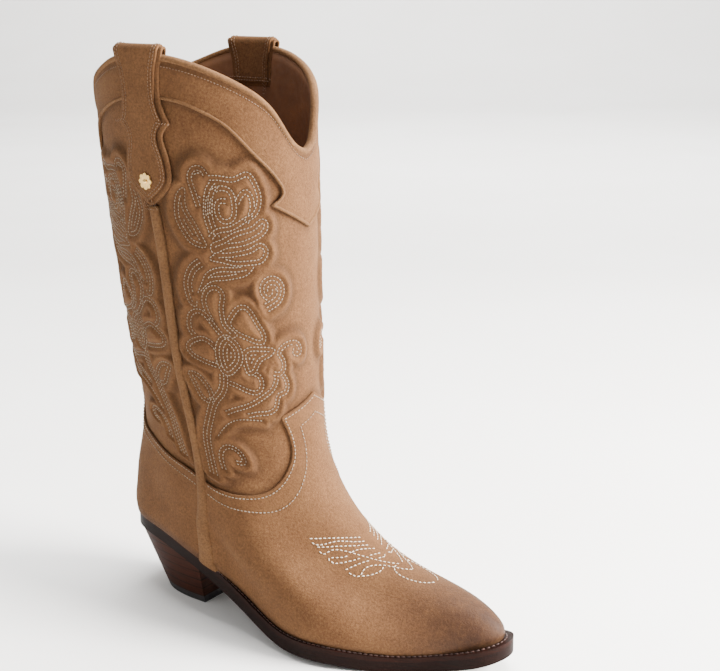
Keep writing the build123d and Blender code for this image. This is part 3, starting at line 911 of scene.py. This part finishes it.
def metal(name, shade, roughness):
    """Brushed metal."""
    n = Nodes(name)
    brush = n.noise(1400, 3, 0.6, (1, 1, 0.15))
    base = n.mix(n.span(brush, 0.3, 0.7), tuple(0.82 * c for c in shade[:3]) + (1,), shade)
    rough = n.span(brush, 0.3, 0.7, roughness, roughness + 0.12)
    return n.finish(base, rough, [(brush, 0.1, 0.05)], Metallic=1.0)


def board(name, light, dark):
    """Pressed fibre board, or cork."""
    n = Nodes(name)
    chips = n.noise(420, 4, 0.7)
    base = n.mix(n.span(chips, 0.35, 0.65), dark, light)
    return n.finish(base, 0.88, [(chips, 0.35, 0.4)])


SUEDE = suede("camel_suede")
TRIM = suede("trim_suede", colour(100, 71, 46), colour(84, 58, 36))
EMBROIDERY = thread("embroidery_thread", colour(150, 133, 112), colour(112, 96, 77))
TAN_THREAD = thread("tan_thread", colour(116, 86, 58), colour(90, 64, 42))
WHITE_THREAD = thread("toe_thread", colour(222, 208, 188), colour(196, 180, 158))
WELT_THREAD = thread("welt_thread", colour(66, 36, 25), colour(42, 22, 15))
LINING = smooth_leather("lining_leather", colour(104, 66, 36), colour(84, 51, 27), 1500, 0.7)
SOCK_LEATHER = smooth_leather("sock_leather", colour(94, 64, 40), colour(78, 51, 31), 1300, 0.6)
SOLE_EDGE = sole_leather("sole_leather", colour(25, 11, 8), colour(13, 6, 4), False)
STACK = sole_leather("stacked_leather", colour(60, 31, 21), colour(33, 17, 12), True)
WELT_LEATHER = sole_leather("welt_leather", colour(34, 15, 10), colour(19, 9, 6), False)
RUBBER = rubber("cap_rubber")
GOLD = metal("gold", colour(228, 190, 120), 0.22)
STEEL = metal("steel", colour(190, 190, 190), 0.3)
BOARD = board("board", colour(176, 148, 112), colour(140, 112, 80))
CORK = board("cork", colour(164, 122, 80), colour(110, 76, 46))
STIFFENER = board("stiffener", colour(206, 196, 178), colour(180, 168, 148))

# ---------------------------------------------------------------- shaft panels

PANEL_STEP = 0.8
PANEL_LOW = 121.0


def panel_outline(front):
    """The shaft panel in the flat layout, seam to seam."""
    upper = ahead(top_line) if front else behind(top_line)
    levels = np.arange(PANEL_LOW, upper[-1 if front else 0][1] - 3.0, 1.0)
    side = np.stack([seam_at(levels), levels], -1)
    if front:
        half = np.concatenate([side, upper[::-1] - (0, 3.0)])
        return np.concatenate([half, mirrored(half[::-1])[1:]])
    half = np.concatenate([side[::-1], [(BACK, PANEL_LOW)]])
    half = np.concatenate([(upper - (0, 3.0))[::-1], half])
    other = (2 * BACK, 0) + mirrored(half)
    return np.concatenate([half, other[::-1][1:-1]])


def shade(flat, painted_shade=None):
    """Painted shade (creases and overlapping edges) and burnish values for points of the flat layout."""
    x = form(flat[:, 1] / HIGH, flat[:, 0] / ROUND)
    toe = ramp(x[:, 0], 190, 262) * 0.85
    low = (1 - ramp(flat[:, 1], 1, 16)) * 0.5
    return {"painted_shade": np.zeros(len(flat)) if painted_shade is None else painted_shade, "burnish": np.maximum(toe, low)}


def near_lines(flat, lines, width):
    """1 on the lines, falling to 0 at a width."""
    here = quarter_side(flat)
    return 1 - ramp(distance_to(np.concatenate(lines), here), 0, width)


def quarter_side(flat):
    """Each point folded to the outer side."""
    folded = ROUND * np.arccos(np.clip(np.cos(flat[:, 0] / ROUND), -1, 1))
    return np.stack([folded, flat[:, 1]], -1)


def shaft_panel(name, front):
    """One embroidered shaft panel."""
    outline = panel_outline(front)
    points, faces, flat = leather(outline, PANEL_STEP, 0.0, UPPER, 0.5, relief=motif_height)
    # Painted shade along the stitched grooves, round the motif, and where the collar, the vamp and the piping
    # lie over the panel.
    _, painted_shade = motif_fields(flat)
    edges = near_lines(flat, [collar_line, foxing_line, seam], 4.0) * 0.55
    piece = mesh_piece(name, points, faces, SUEDE, "suede", shade(flat, np.maximum(painted_shade, edges)))
    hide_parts(name)
    lines = everywhere(motif, front)
    places = np.concatenate([seats(line, UPPER, relief=motif_height) for line in lines])
    sewn = stitches(thinned(places, 1.15))
    mesh_piece(name.replace("panel", "embroidery"), *sewn, EMBROIDERY, "suede_trim")


shaft_panel("front_shaft_panel", True)
shaft_panel("back_shaft_panel", False)

# ---------------------------------------------------------------- overlays


def cut_half(line, front):
    """The part of a line in front of the side seam, or behind it."""
    return ahead(line) if front else behind(line)


def both_sides(half, front):
    """An outline's outer half and its mirror image."""
    if front:
        return np.concatenate([half, mirrored(half[::-1])])
    return np.concatenate([half, ((2 * BACK, 0) + mirrored(half))[::-1]])


def upright(low, high, side):
    """Points up the side seam, moved sideways."""
    levels = np.arange(low, high, 1.0)
    return np.stack([seam_at(levels) + side, levels], -1)


def foot_piece(name, front):
    """The vamp or the heel foxing: from the welt to its tongue."""
    upper = cut_half(foxing_line, front)
    gap = -1.6 if front else 1.6
    end = upper[-1] if front else upper[0]
    side = upright(-1.5, end[1] - 0.5, gap)
    if front:
        half = np.concatenate([upper[:-1], side[::-1], [(0.4 * side[0, 0], -1.5)]])
    else:
        half = np.concatenate([upper[1:][::-1], side[::-1]])
    outline = clean(both_sides(half, front))
    points, faces, flat = leather(outline, 1.0, UPPER, OVERLAY, 0.75)
    # Painted shade along the piece's upper edge, where it steps down onto the panel.
    edge = near_lines(flat, [foxing_line], 1.2) * 0.3
    piece = mesh_piece(name, points, faces, SUEDE, "suede", shade(flat, edge))
    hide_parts(name)


def clean(outline):
    """The outline without points that repeat."""
    step = np.linalg.norm(outline - np.roll(outline, 1, 0), axis=1)
    return outline[step > 0.05]


def collar(name, front):
    """The overlay round the top, with its scalloped lower edge."""
    lower = cut_half(collar_line, front)
    upper = cut_half(top_line, front) - (0, 1.5)
    half = np.concatenate([upper, lower[::-1]]) if front else np.concatenate([lower[::-1], upper])
    if front:
        outline = clean(np.concatenate([half, mirrored(lower), mirrored(upper[::-1])]))
    else:
        around = (2 * BACK, 0) + mirrored(half)
        across = [around[len(lower) :][::-1], around[: len(lower)][::-1]]
        outline = clean(np.concatenate([upper, *across, lower[::-1]]))
    points, faces, flat = leather(outline, 1.0, UPPER, OVERLAY, 0.75)
    # Painted shade just under the lower edge of the top binding.
    edge = near_lines(flat, [top_line - (0, 3.5)], 2.5) * 0.5
    piece = mesh_piece(name, points, faces, SUEDE, "suede", shade(flat, edge))
    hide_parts(name)


foot_piece("vamp", True)
foot_piece("heel_foxing", False)
collar("front_collar", True)
collar("back_collar", False)

# ---------------------------------------------------------------- trim


def whole(half, front):
    """A half line and its mirror image, from the inner side to the outer side."""
    if front:
        return np.concatenate([mirrored(half)[::-1][:-1], half])
    return np.concatenate([half, ((2 * BACK, 0) + mirrored(half))[::-1][1:]])


def binding(name, front):
    """The rolled binding of the top line."""
    line = whole(cut_half(top_line, front), front)
    section = [(side - 1.75, offset) for side, offset in oval(14, 2.0, LINING_IN - 0.3, BINDING_OUT)]
    points, faces = sweep(resample(line, 1.2), section)
    piece = mesh_piece(name, points, faces, TRIM, "suede_trim")
    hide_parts(name)


def bead(name, line, front):
    """The folded edge of a collar."""
    line = whole(cut_half(line, front), front)
    section = [(side + 0.8, offset) for side, offset in oval(10, 0.95, UPPER + 0.3, OVERLAY + 0.75)]
    mesh_piece(name, *sweep(line, section), TRIM, "suede_trim")


def piping(name, side):
    """The raised strip over a side seam, a little wider at the sole."""
    top = from_side([(62.4, PIPING_TOP)])[0, 1]
    levels = np.arange(-0.2, top, 1.0)
    line = np.stack([seam_at(levels), levels], -1)
    turns = np.linspace(0, math.pi, 11)
    widen = 1 + 0.9 * (1 - ramp(levels, -1, 13))
    points = []
    for share, rise in [(math.cos(t), math.sin(t) ** 0.7) for t in turns]:
        half = PIPING_WIDTH / 2 * np.where(share < 0, widen, 1.0) * -share
        offset = UPPER + 0.1 + (PIPING - UPPER) * rise
        moved = line + np.stack([-half, 0 * half], -1)
        points.append(surface(moved * (side, 1), np.full(len(line), offset)))
    for share in (-0.6, 0.0, 0.6):
        half = PIPING_WIDTH / 2 * share
        moved = line + (-half, 0)
        points.append(surface(moved * (side, 1), np.full(len(line), UPPER)))
    points = np.stack(points, 1)
    n, m = points.shape[:2]
    faces = between((n, m), closed_v=True)
    faces += [tuple(range(m)), tuple((n - 1) * m + i for i in reversed(range(m)))]
    if side > 0:
        faces = [tuple(reversed(f)) for f in faces]
    piece = mesh_piece(name, points.reshape(-1, 3), faces, TRIM, "suede_trim")
    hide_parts(name)


binding("front_top_binding", True)
binding("back_top_binding", False)
bead("front_collar_bead", collar_line, True)
bead("back_collar_bead", collar_line, False)
piping("side_piping_outer", 1)
piping("side_piping_inner", -1)

# ---------------------------------------------------------------- pull straps

STRAP_X = 61.5
STRAP_LEAN = 0.04
STRAP_TIP = 257.0
STRAP_OUTLINE = [(0, 257), (9.5, 264), (15.4, 271), (16.4, 280), (14.5, 290), (13.3, 298), (18.7, 305)]
STRAP_UPPER = [(18.7, 305), (15, 314), (14.2, 325), (15.5, 335), (18, 344), (18.6, 350), (17.5, 358),
               (15.5, 366), (15, 374), (13.5, 381)]
STRAP_TURN = 344.6
ARCH_MIDDLE = 1.2
ARCH_RADIUS = 3.2
ARCH_LENGTH = math.pi * ARCH_RADIUS


def strap_shape(side):
    """Maps strap drawing (across, along the strap) to the boot: up the outside, over the top, down inside."""

    def shape(flat, height):
        across, along = flat[:, 0], flat[:, 1]
        turn = np.clip((along - STRAP_TURN) / ARCH_RADIUS, 0, math.pi)
        z = np.where(along < STRAP_TURN, along, STRAP_TURN)
        z = z - np.maximum(along - STRAP_TURN - ARCH_LENGTH, 0)
        x = STRAP_X - STRAP_LEAN * (z - STRAP_TIP) + across
        place_on = from_side(np.stack([x, z], -1)) * (side, 1)
        reach = np.asarray(height) - ARCH_MIDDLE
        points = surface(place_on, ARCH_MIDDLE + reach * np.cos(turn))
        points[:, 2] += reach * np.sin(turn)
        return points

    return shape


def strap_outline():
    """The strap laid flat, counter-clockwise from its tip."""
    right = joined(STRAP_OUTLINE, STRAP_UPPER)
    left = right[::-1] * (-1, 1)
    return clean(counter_clockwise(np.concatenate([right, left[:-1]])))


def strap(side_name, side):
    """One pull strap with its wider backing and its two rows of stitches."""
    outline = strap_outline()
    shape = strap_shape(side)
    tip = [(0, STRAP_TIP)]
    points, faces, flat = leather(outline, 1.2, OVERLAY - 0.2, BACKING, 0.6, shape=shape, corners=tip)
    # Painted shade on the backing's margin, darkest where the strap facing lies over it.
    painted_shade = 0.7 * ramp(-signed(outline, flat), 1.6, 3.4)
    piece = mesh_piece(f"strap_backing_{side_name}", points, turned(faces, side), SUEDE, "suede",
                       {"painted_shade": painted_shade, "burnish": np.zeros(len(flat))})
    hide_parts(f"strap_backing_{side_name}")
    facing = inset(outline, 2.3)
    points, faces, flat = leather(facing, 1.2, BACKING - 0.3, STRAP, 0.6, shape=shape)
    piece = mesh_piece(f"pull_strap_{side_name}", points, turned(faces, side), SUEDE, "suede",
                       {"painted_shade": np.zeros(len(flat)), "burnish": np.zeros(len(flat))})
    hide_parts(f"pull_strap_{side_name}")
    places = []
    for distance in (1.5, 3.3):
        row = inset(facing, distance)
        row = row[nearest(facing, row)[0] > distance - 0.2]
        places.append(seats(np.concatenate([row, row[:1]]), STRAP, shape=shape))
    mesh_piece(f"strap_stitches_{side_name}", *stitches(thinned(np.concatenate(places), 1.2), thread=0.26),
               TAN_THREAD, "suede_trim")


def signed(outline, points):
    """Distance to a closed outline, negative inside."""
    apart, _ = nearest(outline, points)
    return np.where(contains(outline, points), -apart, apart)


def turned(faces, side):
    """The faces, turned round for a mapping that mirrors."""
    return [tuple(reversed(f)) for f in faces] if side < 0 else faces


strap("outer", 1)
strap("inner", -1)

# ---------------------------------------------------------------- linings


def shaft_lining(name, front):
    """One shaft lining, from seam to seam."""
    tops = top_line - (0, 2.2)

    def round_at(share, level):
        if front:
            return share * seam_at(level)
        return BACK + share * (BACK - seam_at(level))

    rows = []
    for share in np.linspace(-1, 1, 90):
        levels = np.full(60, LINING_LOW)
        for _ in range(4):
            fold = ROUND * np.arccos(np.clip(np.cos(round_at(share, levels) / ROUND), -1, 1))
            high = np.interp(fold, tops[:, 0], tops[:, 1])
            levels = LINING_LOW + (high - LINING_LOW) * np.linspace(0, 1, 60)
        rows.append(np.stack([round_at(share, levels), levels], -1))
    flat = np.stack(rows)
    outer = surface(flat, np.full(flat.shape[:2], -0.05))
    inner = surface(flat, np.full(flat.shape[:2], LINING_IN))
    piece = mesh_piece(name, *block(outer, inner), LINING, "lining")
    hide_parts(name)


def foot_lining():
    """The lining of the foot, all round."""
    turns = np.linspace(0, 2 * math.pi, 180, endpoint=False)
    levels = np.linspace(2.0, LINING_LOW + 1.0, 70)
    flat = np.stack(np.meshgrid(ROUND * turns, levels, indexing="ij"), -1)
    outer = surface(flat, np.full(flat.shape[:2], -0.05))
    inner = surface(flat, np.full(flat.shape[:2], LINING_IN))
    around = np.concatenate([outer, inner[:, ::-1]], 1)
    n, m = around.shape[:2]
    piece = mesh_piece("foot_lining", around.reshape(-1, 3), between((n, m), True, True), LINING, "lining")
    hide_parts("foot_lining")


shaft_lining("front_shaft_lining", True)
shaft_lining("back_shaft_lining", False)
foot_lining()


def sock():
    """The padded footbed: a crowned closed pad on the insole."""
    turns = np.linspace(0, math.pi, 90)[1:-1]
    shares = np.linspace(-1, 1, 31)
    rows = []
    for turn in turns:
        level = np.full(1, 0.02)
        for _ in range(6):
            x = form(level, np.array([turn]))[:, 0]
            z = form(level, np.array([turn]))[:, 2]
            level = np.clip(level + (feather(x) + INSOLE + SOCK / 2 - z) / HIGH, 0, 0.2)
        outer = form_at(level, np.array([turn]), LINING_IN)[0]
        inner = form_at(level, np.array([-turn]), LINING_IN)[0]
        across = (1 - shares[:, None]) / 2 * outer + (1 + shares[:, None]) / 2 * inner
        rows.append(across)
    flat = np.stack(rows)
    floor_z = feather(flat[..., 0])
    edge = np.minimum(1 - np.abs(shares)[None, :] ** 6, np.sin(turns)[:, None] ** 0.3)
    top, bottom = flat.copy(), flat.copy()
    bottom[..., 2] = floor_z + INSOLE
    top[..., 2] = floor_z + INSOLE + 0.5 + (SOCK - 0.3) * edge
    piece = mesh_piece("sock_liner", *block(top, bottom), SOCK_LEATHER, "lining")
    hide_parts("sock_liner")


sock()

# ---------------------------------------------------------------- visible seams


def inner_rows(line, distances):
    """Rows inside a piece whose edge is the line, kept at their distance from all of it."""
    rows = []
    for distance in distances:
        row = beside(line, -distance)
        clear = distance_to(resample(line, 0.4), row) > distance - 0.15
        rows.append(row[clear])
    return rows


def overlay_seams():
    """The rows along the edges of the vamp, the heel foxing and the top binding."""
    for name, front in (("vamp", True), ("heel_foxing", False)):
        whole_line = whole(foxing_line, front)
        places = []
        for row in inner_rows(whole_line, (1.9, 9.5)):
            kept = row[np.abs(quarter_side(row)[:, 0] - seam_at(row[:, 1])) > 2.8]
            ahead_of = quarter_side(kept)[:, 0] < seam_at(kept[:, 1])
            for run in runs(kept[ahead_of == front]):
                places.append(seats(run, OVERLAY, pitch=2.3))
        mesh_piece(f"{name}_stitches", *stitches(np.concatenate(places), 1.7), EMBROIDERY, "suede_trim")
        places = seats(whole(cut_half(top_line, front), front) - (0, 4.3), OVERLAY, pitch=1.9)
        end = "front" if front else "back"
        mesh_piece(f"{end}_binding_stitches", *stitches(places, 1.3, 0.24), TAN_THREAD, "suede_trim")


def runs(points, gap=4.0):
    """A line split where neighbours are far apart."""
    step = np.linalg.norm(np.diff(points, axis=0), axis=1)
    return [part for part in np.split(points, np.flatnonzero(step > gap) + 1) if len(part) > 4]


overlay_seams()

# Ornamental stitching over the toe, outer half; the inner half mirrors it.
TOE_ROWS = [
    [(37, 121.5), (27, 122.5), (14, 121.5), (6, 120)],
    [(37, 121.5), (36.9, 118.5), (27, 119.7), (14, 118.7), (6, 117.2)],
    [(36.8, 115.7), (27, 116.9), (14, 115.9), (6, 114.4)],
    [(36.8, 115.7), (36.5, 111), (31, 114), (24, 113.5), (17, 108.5), (9, 101), (2, 96)],
    [(35.7, 103.5), (36, 107), (28, 109), (20, 112.5), (12, 113), (4, 111)],
    [(35.7, 103.5), (26, 106), (14, 108), (4, 107.5)],
    [(34.4, 98), (26, 102.5), (14, 104.8), (4, 104.3)],
    [(34.4, 98), (32.9, 92), (26, 97.5), (18, 100.5), (12, 98.5), (5, 92), (0, 88.5)],
    [(32.9, 92), (25, 93), (16, 96.5), (9, 101.5), (2, 106)],
    [(2, 96), (8, 95.5), (12, 91), (12.5, 85), (10.5, 79), (6.5, 75), (2, 73)],
]


def toe_stitching():
    """White rows over the instep and toe."""
    places = []
    for row in TOE_ROWS:
        line = resample(row, 0.7)
        for half in (line, mirrored(line)):
            places.append(seats(half, OVERLAY, pitch=2.5))
    places = thinned(np.concatenate(places), 1.3)
    mesh_piece("toe_stitching", *stitches(places, 1.9, 0.3), WHITE_THREAD, "suede_trim")


toe_stitching()

# ---------------------------------------------------------------- the bottom

LEDGE_HEEL = 1.8
LEDGE_SIDE = 5.5
LEDGE_TOE = 11.0
HEEL_BREAST = 69.0


def ledge(x):
    """How far the sole's edge stands out from the feather line."""
    rise = ramp(x, 70, 115)
    toe = ramp(x, 235, 262)
    return LEDGE_HEEL + (LEDGE_SIDE - LEDGE_HEEL) * rise + (LEDGE_TOE - LEDGE_SIDE) * toe


def welt_stitches():
    """The row that holds the welt, round the ledge from breast to breast."""
    angle = np.linspace(-math.pi, math.pi, 900)
    rim = form(np.zeros(900), angle)
    along = tangents(rim[:, :2])
    outward = np.stack([-along[:, 1], along[:, 0]], -1)
    middle = rim[:, :2].mean(0)
    outward *= np.sign(((rim[:, :2] - middle) * outward).sum(1).mean())
    line = rim.copy()
    line[:, :2] += outward * (2.9 + (ledge(rim[:, 0]) - 2.9)[:, None] * 0.52)
    line[:, 2] = feather(line[:, 0])
    line = line[rim[:, 0] > HEEL_BREAST + 4]
    step = np.linalg.norm(np.diff(line, axis=0), axis=1)
    length = np.r_[0, np.cumsum(step)]
    at = np.arange(1.5, length[-1], 3.1)
    centre = np.stack([np.interp(at, length, line[:, k]) for k in range(3)], -1)
    direction = tangents(centre)
    normal = np.tile((0.0, 0.0, 1.0), (len(centre), 1))
    sewn = stitches(np.stack([centre, direction, normal], 1), 2.6, 0.42)
    mesh_piece("welt_stitches", *sewn, WELT_THREAD, "welt")


welt_stitches()


def paint(material, *names):
    """Gives CAD nodes a material."""
    for name in names:
        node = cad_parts[name]
        node.data.materials.clear()
        node.data.materials.append(material)


paint(STIFFENER, "toe_puff", "heel_counter", "vamp_interlining")
paint(BOARD, "insole_board")
paint(CORK, "cork_filler")
paint(STEEL, "steel_shank", "heel_nails", "heel_cap_pins")
paint(WELT_LEATHER, "welt", "heel_rand")
paint(SOLE_EDGE, "outsole")
paint(STACK, *[f"heel_lift_{number}" for number in range(1, 7)])
paint(RUBBER, "heel_cap")
paint(GOLD, "concho")


# ---------------------------------------------------------------- stage and camera


def stage():
    """A pale floor that curves up into the backdrop."""
    n = Nodes("floor_paint")
    base = n.mix(n.span(n.noise(3, 2), 0.3, 0.7), colour(236, 234, 231), colour(240, 239, 237))
    material = n.finish(base, 0.8, Specular_IOR_Level=0.2)
    width, depth, radius, height = 8.0, 3.2, 1.2, 4.0
    profile = [(-5.0, 0.0), (depth, 0.0)]
    for turn in np.linspace(0, math.pi / 2, 13)[1:]:
        profile.append((depth + radius * math.sin(turn), radius * (1 - math.cos(turn))))
    profile.append((depth + radius, height))
    points = [(side * width, back, up) for back, up in profile for side in (-1, 1)]
    mesh = bpy.data.meshes.new("floor")
    mesh.from_pydata(points, [], between((len(profile), 2)))
    mesh.polygons.foreach_set("use_smooth", [True] * len(mesh.polygons))
    mesh.materials.append(material)
    floor = bpy.data.objects.new("floor", mesh)
    floor.rotation_euler = (0, 0, math.radians(35))
    bpy.context.scene.collection.objects.link(floor)
    floor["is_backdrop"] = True


def lamp(name, place_at, target, size, watts, tint=(1, 1, 1)):
    """A square soft lamp that faces a point."""
    data = bpy.data.lights.new(name, "AREA")
    data.shape = "SQUARE"
    data.size = size
    data.energy = watts
    data.color = tint
    lamp_object = bpy.data.objects.new(name, data)
    lamp_object.location = place_at
    lamp_object.rotation_euler = (Vector(target) - Vector(place_at)).to_track_quat("-Z", "Y").to_euler()
    bpy.context.scene.collection.objects.link(lamp_object)


CAMERA = (0.5529, -0.6197, 0.3869)
CAMERA_TARGET = (0.1046, 0.0308, 0.1762)
LENS = 68.18
MIDDLE = (0.06, 0.0, 0.15)

stage()
lamp("key", (1.4, 0.5, 0.75), MIDDLE, 0.8, 200, (1.0, 0.97, 0.93))
lamp("fill", (-0.7, -1.4, 0.8), MIDDLE, 1.4, 3)
lamp("overhead", (0.1, 0.5, 1.9), MIDDLE, 1.6, 120)
lamp("backdrop", (-0.5, 1.6, 1.9), (-2.0, 3.9, 1.0), 1.5, 190)
world = bpy.data.worlds.new("studio")
world.use_nodes = True
world.node_tree.nodes["Background"].inputs[0].default_value = (1.0, 0.99, 0.975, 1)
world.node_tree.nodes["Background"].inputs[1].default_value = 0.7
bpy.context.scene.world = world
camera = bpy.data.cameras.new("camera")
camera.lens = LENS
camera.sensor_width = 36
camera_object = bpy.data.objects.new("camera", camera)
camera_object.location = CAMERA
camera_object.rotation_euler = (Vector(CAMERA_TARGET) - Vector(CAMERA)).to_track_quat("-Z", "Y").to_euler()
bpy.context.scene.collection.objects.link(camera_object)
bpy.context.scene.camera = camera_object

visual_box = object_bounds()
({name: [list(corner) for corner in box] for name, box in
           (("cad", cad_box), ("visual", visual_box))})
